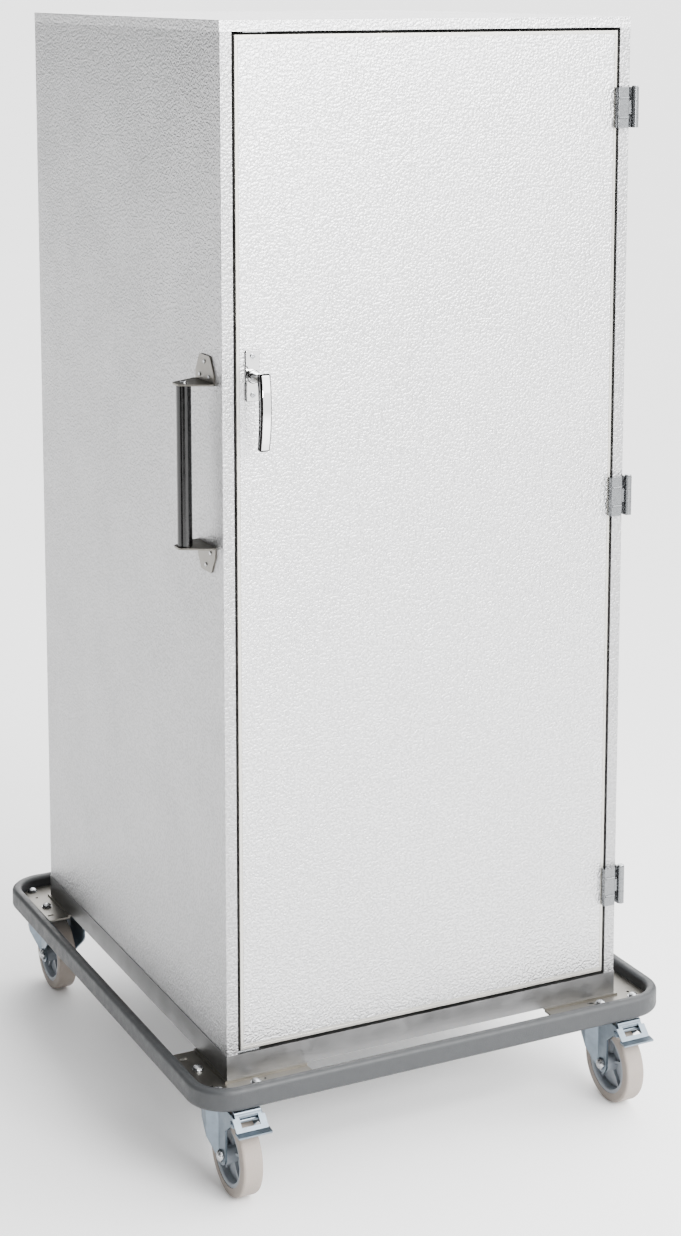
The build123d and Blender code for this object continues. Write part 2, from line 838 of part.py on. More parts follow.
def front_fork():
    """Swivel fork: two legs flared behind the axle, a round crown and arms for the pedal."""
    crown_top = crown_bottom + fork_sheet + 1
    y0 = -trail
    flare = fork_flare - fork_sheet
    end = fork_end_radius
    arm_end = y0 - pedal_pin_out - 2 * pedal_pin_radius
    profile = [
        (y0 - end, axle_z),
        (y0 - end, axle_z + 45),
        (arm_end + 10, pedal_low_height - 2),
        (arm_end, pedal_low_height),
        (arm_end, crown_top - 7),
        (arm_end + 8, crown_top),
        (trail - 4, crown_top),
        (trail - 4, crown_top - 8),
        (y0 + end, axle_z - 6),
    ]
    face = make_face(Polyline(*profile, close=True)) + Pos(y0, axle_z) * Circle(end)
    side_view = Pos(-far / 2, 0, 0) * extrude(Plane.YZ * face, far)
    crease = y0 + axle_across / math.sqrt(3) + 1
    strip = [(fork_half, -far), (fork_half, crease), (flare, crease + 20), (flare, 12), (flare - 6, trail)]
    crown = rod_z(crown_radius, 0, 0, (crown_bottom, crown_top))
    bridge = block((-fork_half - 1, fork_half + 1), (-crown_radius - 8, 0), (crown_bottom, crown_top))
    cup = rod_z(crown_radius, 0, 0, (crown_bottom, castor_under - 2))
    cup = cup - rod_z(race_radius + swivel_play, 0, 0, (crown_top, far))
    fork = crown + bridge + chamfer(cup.edges().filter_by(at_plane(2, crown_bottom)), 1)
    for side in (-1, 1):
        fork = fork + (leg_strip(strip, side, (axle_z - end, crown_top)) & side_view)
    fork = fork - rod_z(king_radius + pin_play, 0, 0, (0, far))
    fork = fork - rod_x(axle_radius, (-far, far), y0, axle_z)
    return fork - rod_x(pedal_pin_radius + pin_play, (-far, far), y0 - pedal_pin_out, pedal_pin_height)


def rear_fork():
    """Fixed fork: two legs flared at both edges below a bolted plate."""
    end = fork_end_radius
    neck = bolt_gap_y / 2 - bolt_across * 0.75
    half = rear_leg_half
    shoulder = castor_under - nut_height - 3
    profile = [
        (-neck, castor_under),
        (-neck, shoulder + 1),
        (-half + 4, shoulder - 4),
        (-half, axle_z + 55),
        (-half, axle_z + 38),
        (-end, axle_z - 2),
        (end, axle_z - 2),
        (half, axle_z + 38),
        (half, axle_z + 55),
        (half - 4, shoulder - 4),
        (neck, shoulder + 1),
        (neck, castor_under),
    ]
    face = make_face(Polyline(*profile, close=True)) + Pos(0, axle_z) * Circle(end)
    side_view = Pos(-far / 2, 0, 0) * extrude(Plane.YZ * face, far)
    flare = fork_flare - fork_sheet
    strip = [(flare, -half), (flare, 8 - half), (fork_half, -end)]
    strip += [(fork_half, end), (flare, half - 8), (flare, half)]
    fork = castor_flange()
    for side in (-1, 1):
        fork = fork + (leg_strip(strip, side, (axle_z - end, castor_under)) & side_view)
    return fork - rod_x(axle_radius, (-far, far), 0, axle_z)


def axle():
    """A bolt along X through both legs, its domed nut on the left."""
    seat = fork_half + fork_sheet
    bolt = rod_x(axle_radius, (-seat - axle_head + 1, seat), 0, axle_z)
    head = prism_x(axle_across, (seat, seat + 5), 0, axle_z)
    nut = prism_x(axle_across, (-seat - axle_head, -seat), 0, axle_z)
    nut = nut & (Pos(-seat - axle_head + 11, 0, axle_z) * Sphere(11))
    return bolt + head + nut


def wheel_rim():
    """Moulded wheel: a lipped ring, a web with ribs and a hub bored for the axle."""
    outer = wheel_radius - tyre_thick
    inner = outer - rim_lip
    ring = rod_x(outer, (-rim_width / 2, rim_width / 2), 0, axle_z)
    ring = ring - rod_x(inner, (-far, far), 0, axle_z)
    circles = ring.edges().filter_by(GeomType.CIRCLE)
    lips = circles.filter_by(lambda edge: abs(edge.radius - inner) < 1e-4)
    ring = chamfer(lips, 1.5)
    web = rod_x(inner + 1, (-web_thick / 2, web_thick / 2), 0, axle_z)
    half = fork_half - hub_side_play
    hub = rod_x(wheel_hub_radius, (-half, half), 0, axle_z)
    wheel = ring + web + hub
    rib_half = rim_width / 2 - 7
    for index in range(rib_count):
        rib = block((-rib_half, rib_half), (-rib_thick / 2, rib_thick / 2), (wheel_hub_radius - 2, inner + 1))
        wheel = wheel + Pos(0, 0, axle_z) * Rot(360 * index / rib_count, 0, 0) * rib
    return wheel - rod_x(axle_radius + axle_play, (-far, far), 0, axle_z)


def tyre():
    half = tyre_width / 2
    ring = rod_x(wheel_radius, (-half, half), 0, axle_z)
    ring = fillet(ring.edges().filter_by(GeomType.CIRCLE), tyre_round)
    return ring - rod_x(wheel_radius - tyre_thick, (-far, far), 0, axle_z)


def pedal():
    """Brake pedal about the swivel axis: rolled bar, sloping plate, wide lip, cheeks and pin."""
    half = pedal_half
    neck = pedal_neck_half
    thick = pedal_sheet

    def at(out, z):
        return (-trail - out, z)

    bar, low = (pedal_bar_out, pedal_bar_height), (pedal_low_out, pedal_low_height)
    slope = plate_yz(
        [
            at(*bar),
            at(bar[0] + thick, bar[1] + 1),
            at(low[0] + thick, low[1]),
            at(low[0], low[1] - 1),
        ],
        (-half, half),
    )
    wide_from = pedal_pin_out + 2 * pedal_pin_radius + pedal_play
    for side in (-1, 1):
        beside = sorted((side * neck, side * far))
        slope = slope - block(beside, (-trail - wide_from, far), (0, far))
    run = low[0] - bar[0]
    window_out = (bar[0] + 0.28 * run, bar[0] + 0.88 * run)
    window_y = (-trail - window_out[1], -trail - window_out[0])
    slope = slope - block((-pedal_window_half, pedal_window_half), window_y, (0, far))
    lip_points = [
        at(low[0] - 1, low[1]),
        at(pedal_tip_out, low[1] - 2),
        at(pedal_tip_out, low[1] - 2 - thick),
        at(low[0] - 1, low[1] - thick),
    ]
    lip = plate_yz(lip_points, (-half - 1.5, half + 1.5))
    lip = fillet(lip.edges().filter_by(at_plane(1, -trail - pedal_tip_out)).filter_by(Axis.Z), 1)
    cheek = [
        at(bar[0] - 4, bar[1]),
        at(bar[0] + 2, bar[1]),
        at(low[0] + thick, low[1]),
        at(low[0], low[1] - thick),
        at(pedal_pin_out + 5, pedal_pin_height - 6),
        at(pedal_pin_out - 5, pedal_pin_height - 4),
    ]
    solid = slope + lip + rod_x(pedal_bar_radius, (-neck, neck), *at(*bar))
    solid = solid + plate_yz(cheek, (-neck, thick - neck)) + plate_yz(cheek, (neck - thick, neck))
    pin = fork_half + fork_sheet + 1.5
    return solid + rod_x(pedal_pin_radius, (-pin, pin), *at(pedal_pin_out, pedal_pin_height))


# ---- Shelves ----
def upright_places():
    return [front + upright_from_end, back - upright_from_end]


def slot_heights():
    count = int((roof_bottom - plinth_top - 2 * upright_slot_pitch) / upright_slot_pitch)
    return [plinth_top + upright_slot_pitch * (index + 1) for index in range(count)]


def upright(side, y):
    """A slotted channel on the side wall, its web towards the middle of the cabinet."""
    span_y = (y - upright_width / 2, y + upright_width / 2)
    z = (plinth_top + sheet, roof_bottom)
    outer = block((inside - upright_depth, inside), span_y, z)
    hollow = (inside - upright_depth + upright_sheet, far)
    solid = outer - block(hollow, grow(span_y, -upright_sheet), (0, far))
    for height in slot_heights():
        slot = grow((height, height), upright_slot_height / 2)
        solid = solid - block((0, inside - upright_sheet), grow((y, y), upright_slot_width / 2), slot)
    return solid if side > 0 else mirrored_x(solid)


def shelf_heights():
    """Height of each shelf's lower edge, level with the clips' upper faces."""
    slots = slot_heights()
    step = len(slots) // (shelf_count + 1)
    return [slots[step * (index + 1)] + upright_slot_height / 3 for index in range(shelf_count)]


def shelf_clip(side, y, top):
    """A hooked clip in a slot of the upright."""
    web = inside - upright_depth
    span = grow((y, y), clip_size / 2)
    clip = block((web - clip_size, web), span, (top - 2, top))
    clip = clip + block((web - 2, web), span, (top - clip_size, top))
    tongue = grow((y, y), upright_slot_width / 2 - 0.2)
    clip = clip + block((web - 1, web + 5), tongue, (top - 6, top - 1))
    return clip if side > 0 else mirrored_x(clip)


def shelf(low):
    half = inside - upright_depth - shelf_play
    y = (frame_back + shelf_front_back / 2, back - wall - shelf_front_back / 4)
    tray = pan((-half, half), y, (low, low + shelf_edge), shelf_sheet, 2, -1)
    return fillet(tray.edges().filter_by(at_plane(2, low + shelf_edge)), shelf_sheet * 0.9)


handle_y = front + handle_from_front


def main():
    """Writes every piece as one STEP file."""
    save("side_panel_left", left_panel())
    save("side_panel_right", right_panel())
    save("back_panel", back_panel())
    save("roof_panel", roof_panel())
    save("liner_left", side_liner())
    save("liner_right", mirrored_x(side_liner()))
    save("liner_back", back_liner())
    save("liner_roof", roof_liner())
    save("base_plinth", base_plinth())
    save("floor_panel", floor_panel())
    save("door_frame", door_frame())
    save("door_seal", door_seal())
    save("door_skin", door_skin())
    save("door_liner", door_liner())
    save("hinge_leaves_door", group(hinge_door_leaf(z) for z in hinge_places))
    save("hinge_leaves_body", group(hinge_body_leaf(z) for z in hinge_places))
    save("hinge_pins", group(hinge_pin(z) for z in hinge_places))
    screws = []
    for hinge in hinge_places:
        for y, z in hinge_screw_places(hinge):
            screw = pan_screw((0, 0, 0), hinge_leaf + sheet)
            screws.append(Pos(right + hinge_leaf, y, z) * Rot(0, 0, 90) * screw)
    save("hinge_screws", group(screws))
    save("lock_plate", lock_plate())
    save("lock_plate_screws", group(lock_plate_screw(z) for z in screw_heights()))
    save("lock_case", lock_case())
    save("lock_keepers", group(keeper(side) for side in (-1, 1)))
    save("door_lever", door_lever())
    save("lock_rod_upper", lock_rod(1))
    save("lock_rod_lower", lock_rod(-1))
    save("handle_bracket_upper", handle_bracket(1))
    save("handle_bracket_lower", handle_bracket(-1))
    save("handle_grip", handle_grip())
    rivets = [handle_rivet(y, z) for side in (-1, 1) for y, z in handle_rivet_places(side)]
    save("handle_fasteners", group([*rivets, handle_bolt()]))
    save("bumper_ring", bumper_ring())
    save("bumper_screws", group(bumper_screw(*place) for place in bumper_screw_places()))
    for end, inset, sign in (("front", front_inset, 1), ("rear", rear_inset, -1)):
        plate = corner_plate(inset, sign)
        save(f"corner_plate_{end}_left", plate)
        save(f"corner_plate_{end}_right", mirrored_x(plate))
    bolts = []
    for x, y, raised in bolt_places():
        bolts += [castor_bolt(x, y, raised), castor_nut(x, y)]
        if raised:
            bolts.append(castor_spacer(x, y))
    save("castor_bolts", group(bolts))
    for name, x, y in castor_places():
        place = Pos(x, y, 0)
        wheel = place
        if name.startswith("front"):
            wheel = Pos(x, y - trail, 0)
            save(f"castor_plate_{name}", place * swivel_plate())
            save(f"castor_fork_{name}", place * front_fork())
            save(f"brake_pedal_{name}", place * pedal())
            save(f"axle_{name}", wheel * axle())
        else:
            save(f"castor_fork_{name}", place * rear_fork())
        save(f"wheel_rim_{name}", wheel * wheel_rim())
        save(f"tyre_{name}", wheel * tyre())
    rear = [Pos(x, y, 0) * axle() for name, x, y in castor_places() if name.startswith("rear")]
    save("axles_rear", group(rear))
    save("shelf_uprights", group(upright(side, y) for side in (-1, 1) for y in upright_places()))
    heights = shelf_heights()
    clips = [shelf_clip(side, y, top) for side in (-1, 1) for y in upright_places() for top in heights]
    save("shelf_clips", group(clips))
    for index, low in enumerate(heights):
        save(f"shelf_{index + 1}", shelf(low))


main()
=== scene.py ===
"""Looks of the housekeeping cart: finishes, tyre seams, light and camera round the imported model."""

import math

import bpy
from mathutils import Matrix, Vector


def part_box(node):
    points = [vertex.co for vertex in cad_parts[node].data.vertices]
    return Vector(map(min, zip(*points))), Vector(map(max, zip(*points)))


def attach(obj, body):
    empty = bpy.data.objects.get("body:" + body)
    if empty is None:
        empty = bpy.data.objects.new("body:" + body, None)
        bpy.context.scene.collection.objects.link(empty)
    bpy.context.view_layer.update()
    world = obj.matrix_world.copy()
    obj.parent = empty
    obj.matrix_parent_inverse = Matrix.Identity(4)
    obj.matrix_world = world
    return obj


bl_info = {
    "name": "Housekeeping Cart",
    "version": (1, 0, 0),
    "blender": (4, 5, 0),
    "location": "View3D > Sidebar > Cart",
    "description": "Finishes a housekeeping cart and puts it in a plain studio",
    "category": "Object",
}

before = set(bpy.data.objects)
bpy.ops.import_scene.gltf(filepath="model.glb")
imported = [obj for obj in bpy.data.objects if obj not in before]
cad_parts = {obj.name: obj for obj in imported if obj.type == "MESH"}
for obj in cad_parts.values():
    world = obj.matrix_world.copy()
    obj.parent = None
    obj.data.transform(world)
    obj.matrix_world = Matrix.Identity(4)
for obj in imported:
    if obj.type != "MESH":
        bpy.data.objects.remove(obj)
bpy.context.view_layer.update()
CASTORS = ("front_left", "front_right", "rear_left", "rear_right")

# Lamps of the studio: name, place and width in metres, power in watts.
LAMPS = (
    ("front_softbox", (0.9, -4.0, 3.0), 2.2, 360),
    ("left_softbox", (-3.6, 1.6, 1.4), 1.0, 5),
    ("strip_light", (0.0, -4.2, 1.2), 0.3, 45),
)
# Black flags that only shiny metal reflects: name, place and width in metres.
FLAGS = (
    ("flag_left", (-3.2, -1.6, 1.5), 1.6),
    ("flag_camera", (-2.2, -4.6, 1.5), 3.2),
    ("flag_right", (3.2, 1.5, 1.5), 1.6),
)
FLAG_HEIGHT = 3.0
FLOOR_WIDTH = 800
LAMPS_AIM = Vector((0, 0, 0.9))
FLAGS_AIM = Vector((0, 0, 1.4))

# The direction's parts between which the surroundings brighten to the right and upward.
BRIGHTENS_RIGHT = (-0.2, 0.35)
BRIGHTENS_UP = (0.35, 0.95)

# The camera's place in metres, its angles in degrees and its upward shift in picture widths.
CAMERA_PLACE = (-1.6117, -3.3363, 1.778)
CAMERA_TILT = 90 - 8.448
CAMERA_TURN = -26.301
CAMERA_SHIFT = -0.24
CAMERA_REACH = 1000
SENSOR_WIDTH = 36

# Painted reflection of the room's dark on the chrome: its tone follows the surface normal's Y, near black
# where the rounded edge turns, a third on faces turned sideways, clear on its front and back faces.
CHROME_PAINTED_REFLECTION_STOPS = ((0.12, 0.35), (0.25, 0.01), (0.93, 0.01), (0.985, 1.0))


def linear(code):
    """Turns an sRGB hex colour into linear red, green and blue."""
    values = [int(code[i : i + 2], 16) / 255 for i in (0, 2, 4)]
    return tuple(v / 12.92 if v <= 0.04045 else ((v + 0.055) / 1.055) ** 2.4 for v in values)


# ---- Sizes and colours that a user may change ----
def tint(name, text, code):
    return bpy.props.FloatVectorProperty(
        name=name, description=text, subtype="COLOR", size=3, min=0.0, max=1.0, default=linear(code)
    )


def length(name, text, value):
    return bpy.props.FloatProperty(
        name=name, description=text, unit="LENGTH", precision=4, min=0.0, default=value
    )


class CartMetals(bpy.types.PropertyGroup):
    """Colours of the sheet metal and the fittings."""

    sheet: tint("Door and roof sheet", "Embossed aluminium of the door and the roof", "CDCDCE")
    # The walls are the same embossed aluminium as the door and roof; their darker colour is painted shade
    # for the sides turned away from the light.
    walls_in_painted_shade: tint("Wall sheet in painted shade", "Embossed aluminium of the side and back walls", "B0B0B1")
    hem: tint("Door rim", "Plain rim of the door outside its embossing", "C2C0BA")
    inner: tint("Inner sheet", "Plain aluminium of the liners and shelves", "D2D4D6")
    stainless: tint("Stainless", "Brushed sheet of the plinth", "868686")
    pressed: tint("Pressed stainless", "Warmer sheet of the corner plates and brackets", "7A7771")
    zinc: tint("Zinc plate", "Bluish plating of forks and castor plates", "7D8892")
    bolts: tint("Bolts", "Plating of bolts, screws and axles", "B4B6B8")
    hinge: tint("Hinges", "Plating of the hinges", "7C7E80")
    chrome: tint("Chrome", "Plating of the lever and its plate", "F0F0F0")
    emboss: length("Embossing", "Distance between the embossed grains", 0.0038)
    brushing: length("Brushing", "Distance between brush lines", 0.0016)
    hem_side: length("Rim at the sides", "Plain rim along the door's sides and top", 0.0052)
    hem_foot: length("Rim at the foot", "Plain rim along the door's lower edge", 0.0085)


class CartPlastics(bpy.types.PropertyGroup):
    """Colours of the plastic and rubber pieces."""

    bumper: tint("Bumper", "Rubber ring round the base", "2B2D2F")
    tyre: tint("Tyre", "Non-marking rubber of the tyres", "90877F")
    rim: tint("Rim", "Moulded wheel centre", "888E95")
    grip: tint("Grip", "Tube of the push handle", "050505")
    seal: tint("Seal", "Rubber round the doorway", "151617")
    shoulder: length("Tyre shoulder", "Rounding between a tyre's tread and its sides", 0.0045)
    seam: length("Tyre seam", "Half thickness of the mould's parting lines", 0.0004)
    grain: length("Mould grain", "Distance between the grains of moulded surfaces", 0.0022)


class CartStudio(bpy.types.PropertyGroup):
    """Floor, light and camera."""

    floor: tint("Floor", "Pale studio floor", "FAFAFA")
    backdrop: tint("Surroundings", "Colour of the light from all round", "FFFFFF")
    bright: bpy.props.FloatProperty(name="Bright side", description="Light from the right", default=5.0)
    dim: bpy.props.FloatProperty(name="Dim side", description="Light from the left", default=0.15)
    top: bpy.props.FloatProperty(name="Ceiling", description="Further light from above", default=1.1)
    plain: bpy.props.FloatProperty(name="Backdrop", description="How bright the backdrop looks", default=3.0)
    lens: bpy.props.FloatProperty(name="Lens", description="Focal length", unit="CAMERA", default=67.45)


# ---- Nodes and materials ----
# A Mix node's sockets share their names, so they go by number: for colours, then for numbers.
FACTOR, COLOR_A, COLOR_B, COLOR_OUT = 0, 6, 7, 2
NUMBER_A, NUMBER_B, NUMBER_OUT = 2, 3, 0


def add(tree, kind, inputs=None, **settings):
    """Adds one node; each input, by name or number, is a value or another node's output."""
    made = tree.nodes.new(kind)
    for name, value in settings.items():
        setattr(made, name, value)
    for name, value in (inputs or {}).items():
        socket = made.inputs[name]
        if isinstance(value, bpy.types.NodeSocket):
            tree.links.new(value, socket)
        else:
            socket.default_value = value
    return made


def new_material(name):
    """A new material, its node tree and the Object coordinates in it."""
    material = bpy.data.materials.new(name)
    material.use_nodes = True
    material.node_tree.nodes.clear()
    tree = material.node_tree
    place = add(tree, "ShaderNodeTexCoord").outputs["Object"]
    return material, tree, place


def close(material, shader):
    """Adds the material's output and sends the shader to it."""
    add(material.node_tree, "ShaderNodeOutputMaterial", {"Surface": shader.outputs["BSDF"]})
    return material


def rgba(color, factor=1.0):
    """A colour, made darker by the factor, as a colour socket takes it."""
    return (*(min(1.0, part * factor) for part in color), 1.0)


def spread(tree, place, size, low=0.0, high=1.0, detail=2.0, stretch=(1, 1, 1)):
    """Noise whose grains are size metres apart, mapped to the range from low to high."""
    turned = add(tree, "ShaderNodeMapping", {"Vector": place, "Scale": stretch})
    noise = add(
        tree,
        "ShaderNodeTexNoise",
        {"Vector": turned.outputs["Vector"], "Scale": 1 / size, "Detail": detail, "Roughness": 0.55},
    )
    grains = noise.outputs["Fac"]
    ends = {"From Min": 0.3, "From Max": 0.7, "To Min": low, "To Max": high}
    return add(tree, "ShaderNodeMapRange", {"Value": grains, **ends}).outputs["Result"]


def outside(tree, place, low, high, side, foot):
    """1 on the rim of a door, beyond side from its sides and top or foot from its lower edge."""
    parts = add(tree, "ShaderNodeSeparateXYZ", {0: place}).outputs
    value = parts["X"]
    for operation, number in (
        ("SUBTRACT", (low.x + high.x) / 2),
        ("ABSOLUTE", 0.0),
        ("GREATER_THAN", (high.x - low.x) / 2 - side),
    ):
        value = add(tree, "ShaderNodeMath", {0: value, 1: number}, operation=operation).outputs[0]
    for operation, number in (("GREATER_THAN", high.z - side), ("LESS_THAN", low.z + foot)):
        edge = add(tree, "ShaderNodeMath", {0: parts["Z"], 1: number}, operation=operation)
        value = add(
            tree, "ShaderNodeMath", {0: value, 1: edge.outputs[0]}, operation="MAXIMUM"
        ).outputs[0]
    return value


def embossed_sheet(name, metals, color, rim=None):
    """Stucco embossed aluminium: rolled grains that scatter the light, so it looks nearly white, with
    painted shade in the grains' valleys.
    """
    material, tree, place = new_material(name)
    # Real embossing is about 2 mm apart; it is drawn coarser so that it shows.
    size = metals.emboss
    grains = add(
        tree,
        "ShaderNodeTexNoise",
        {"Vector": place, "Scale": 1 / size, "Detail": 0.8, "Roughness": 0.5, "Distortion": 0.15},
    ).outputs["Fac"]
    height = add(
        tree,
        "ShaderNodeMapRange",
        {"Value": grains, "From Min": 0.36, "From Max": 0.62},
        interpolation_type="SMOOTHSTEP",
    ).outputs["Result"]
    cloud = spread(tree, place, 0.25)
    tone = add(
        tree,
        "ShaderNodeMix",
        {FACTOR: cloud, COLOR_A: rgba(color, 0.95), COLOR_B: rgba(color)},
        data_type="RGBA",
    ).outputs[COLOR_OUT]
    # Painted shade: the grain's valleys are drawn a fifth darker than its crowns, as though less light
    # reached them.
    valley_shaded_color = add(
        tree,
        "ShaderNodeMix",
        {FACTOR: height, COLOR_A: rgba(color, 0.8), COLOR_B: tone},
        data_type="RGBA",
    ).outputs[COLOR_OUT]
    if rim:
        plain = outside(tree, place, *rim)
        valley_shaded_color = add(
            tree,
            "ShaderNodeMix",
            {FACTOR: plain, COLOR_A: valley_shaded_color, COLOR_B: rgba(metals.hem)},
            data_type="RGBA",
        ).outputs[COLOR_OUT]
        height = add(
            tree, "ShaderNodeMath", {0: height, 1: plain}, operation="MAXIMUM"
        ).outputs[0]
    bump = add(
        tree, "ShaderNodeBump", {"Height": height, "Strength": 1.0, "Distance": 0.11 * size}
    )
    shader = add(
        tree,
        "ShaderNodeBsdfPrincipled",
        {
            "Base Color": valley_shaded_color,
            "Metallic": 1.0,
            "Roughness": spread(tree, place, 0.12, 0.32, 0.40),
            "Normal": bump.outputs["Normal"],
        },
    )
    return close(material, shader)


def plain_sheet(metals):
    """Mill finish aluminium: soft satin with faint rolling lines along the sheet."""
    material, tree, place = new_material("Mill finish aluminium")
    lines = spread(tree, place, 0.004, stretch=(1, 1, 0.03))
    bump = add(tree, "ShaderNodeBump", {"Height": lines, "Strength": 0.05, "Distance": 0.0004})
    tone = add(
        tree,
        "ShaderNodeMix",
        {FACTOR: lines, COLOR_A: rgba(metals.inner, 0.9), COLOR_B: rgba(metals.inner)},
        data_type="RGBA",
    ).outputs[COLOR_OUT]
    shader = add(
        tree,
        "ShaderNodeBsdfPrincipled",
        {
            "Base Color": tone,
            "Metallic": 1.0,
            "Roughness": spread(tree, place, 0.08, 0.38, 0.42),
            "Normal": bump.outputs["Normal"],
        },
    )
    return close(material, shader)


def brushed_stainless(name, metals, color, rough):
    """Brushed stainless sheet: fine level lines and a dull shine, a little smeared by handling."""
    material, tree, place = new_material(name)
    lines = spread(tree, place, metals.brushing, detail=3.0, stretch=(0.02, 0.02, 1))
    grain = spread(tree, place, 0.003, detail=4.0, stretch=(0.12, 1, 1))
    both = add(tree, "ShaderNodeMath", {0: lines, 1: grain}, operation="ADD").outputs["Value"]
    bump = add(tree, "ShaderNodeBump", {"Height": both, "Strength": 0.10, "Distance": 0.0004})
    smear = spread(tree, place, 0.06, detail=3.0)
    tone = add(
        tree,
        "ShaderNodeMix",
        {FACTOR: smear, COLOR_A: rgba(color, 0.84), COLOR_B: rgba(color)},
        data_type="RGBA",
    ).outputs[COLOR_OUT]
    shader = add(
        tree,
        "ShaderNodeBsdfPrincipled",
        {
            "Base Color": tone,
            "Metallic": 1.0,
            "Roughness": spread(tree, place, 0.03, rough - 0.05, rough + 0.07),
            "Normal": bump.outputs["Normal"],
        },
    )
    return close(material, shader)


def zinc_plate(metals):
    """Bright zinc on pressed steel: bluish, a little cloudy, with soft drawing marks."""
    material, tree, place = new_material("Bright zinc plated steel")
    cloud = spread(tree, place, 0.014, detail=4.0)
    drawn = spread(tree, place, 0.0025)
    bump = add(tree, "ShaderNodeBump", {"Height": drawn, "Strength": 0.08, "Distance": 0.0003})
    tone = add(
        tree,
        "ShaderNodeMix",
        {FACTOR: cloud, COLOR_A: rgba(metals.zinc, 0.8), COLOR_B: rgba(metals.zinc)},
        data_type="RGBA",
    ).outputs[COLOR_OUT]
    shader = add(
        tree,
        "ShaderNodeBsdfPrincipled",
        {
            "Base Color": tone,
            "Metallic": 1.0,
            "Roughness": spread(tree, place, 0.02, 0.32, 0.42),
            "Normal": bump.outputs["Normal"],
        },
    )
    return close(material, shader)


def plated_bolts(name, color):
    """Zinc plated fasteners: brighter than the pressings, with fine turning marks."""
    material, tree, place = new_material(name)
    marks = spread(tree, place, 0.0012, detail=3.0)
    bump = add(tree, "ShaderNodeBump", {"Height": marks, "Strength": 0.12, "Distance": 0.0002})
    tone = add(
        tree,
        "ShaderNodeMix",
        {FACTOR: marks, COLOR_A: rgba(color, 0.78), COLOR_B: rgba(color)},
        data_type="RGBA",
    ).outputs[COLOR_OUT]
    shader = add(
        tree,
        "ShaderNodeBsdfPrincipled",
        {
            "Base Color": tone,
            "Metallic": 1.0,
            "Roughness": spread(tree, place, 0.004, 0.2, 0.34),
            "Normal": bump.outputs["Normal"],
        },
    )
    return close(material, shader)


def chrome_plate(metals):
    """Chrome over a zinc casting: a mirror with a painted reflection, drawn dark along each rounded edge and
    greyer on its side faces, as chrome looks in a pale room.
    """
    material, tree, place = new_material("Chrome plated zinc casting")
    waves = spread(tree, place, 0.02)
    bump = add(tree, "ShaderNodeBump", {"Height": waves, "Strength": 0.10, "Distance": 0.0006})
    # Painted reflection: the base colour is darkened by the surface normal's direction, standing in for the
    # room's dark mirrored on the rounded edge and the side faces.
    facing = add(tree, "ShaderNodeTexCoord").outputs["Normal"]
    level = add(tree, "ShaderNodeSeparateXYZ", {0: facing}).outputs["Y"]
    level = add(tree, "ShaderNodeMath", {0: level}, operation="ABSOLUTE").outputs[0]
    painted_dark_edges = add(tree, "ShaderNodeValToRGB", {"Fac": level})
    stops = painted_dark_edges.color_ramp.elements
    for at, grey in CHROME_PAINTED_REFLECTION_STOPS:
        stops.new(at).color = rgba((grey, grey, grey))
    stops.remove(stops[-1])
    stops.remove(stops[0])
    clear = add(
        tree,
        "ShaderNodeMix",
        {FACTOR: waves, COLOR_A: rgba(metals.chrome, 0.92), COLOR_B: rgba(metals.chrome)},
        data_type="RGBA",
    ).outputs[COLOR_OUT]
    tone = add(
        tree,
        "ShaderNodeMix",
        {FACTOR: 1.0, COLOR_A: clear, COLOR_B: painted_dark_edges.outputs["Color"]},
        data_type="RGBA",
        blend_type="MULTIPLY",
    ).outputs[COLOR_OUT]
    shader = add(
        tree,
        "ShaderNodeBsdfPrincipled",
        {
            "Base Color": tone,
            "Metallic": 1.0,
            "Roughness": spread(tree, place, 0.01, 0.02, 0.07),
            "Normal": bump.outputs["Normal"],
        },
    )
    return close(material, shader)


def moulded(name, color, grain, rough, relief):
    """Moulded plastic or rubber: a fine grain from the mould and a little dust in it."""
    material, tree, place = new_material(name)
    fine = spread(tree, place, grain, detail=3.0)
    dust = spread(tree, place, 0.03, detail=4.0)
    bump = add(tree, "ShaderNodeBump", {"Height": fine, "Strength": relief, "Distance": 0.0005})
    deep = rgba(color, 0.9)
    grained = add(
        tree,
        "ShaderNodeMix",
        {FACTOR: fine, COLOR_A: deep, COLOR_B: rgba(color)},
        data_type="RGBA",
    ).outputs[COLOR_OUT]
    tone = add(
        tree,
        "ShaderNodeMix",
        {FACTOR: dust, COLOR_A: grained, COLOR_B: deep},
        data_type="RGBA",
    ).outputs[COLOR_OUT]
    shader = add(
        tree,
        "ShaderNodeBsdfPrincipled",
        {
            "Base Color": tone,
            "IOR": 1.5,
            "Roughness": spread(tree, place, 0.012, rough - 0.05, rough + 0.07),
            "Normal": bump.outputs["Normal"],
        },
    )
    return close(material, shader)


def studio_floor(studio):
    """Matt painted floor with a barely visible unevenness."""
    material, tree, place = new_material("Matt painted floor")
    uneven = spread(tree, place, 0.5)
    tone = add(
        tree,
        "ShaderNodeMix",
        {FACTOR: uneven, COLOR_A: rgba(studio.floor, 0.985), COLOR_B: rgba(studio.floor)},
        data_type="RGBA",
    ).outputs[COLOR_OUT]
    rough = spread(tree, place, 0.2, 0.82, 0.9)
    shader = add(tree, "ShaderNodeBsdfPrincipled", {"Base Color": tone, "Roughness": rough})
    return close(material, shader)


def flag_cloth():
    """Black cloth of the studio's flags."""
    material, tree, place = new_material("Black studio cloth")
    weave = spread(tree, place, 0.01, 0.9, 1.0)
    shader = add(
        tree, "ShaderNodeBsdfPrincipled", {"Base Color": rgba((0.01, 0.01, 0.01)), "Roughness": weave}
    )
    return close(material, shader)


def coat(names, material):
    """Puts one material in the slots of CAD nodes."""
    for name in names:
        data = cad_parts[name].data
        data.materials.clear()
        data.materials.append(material)


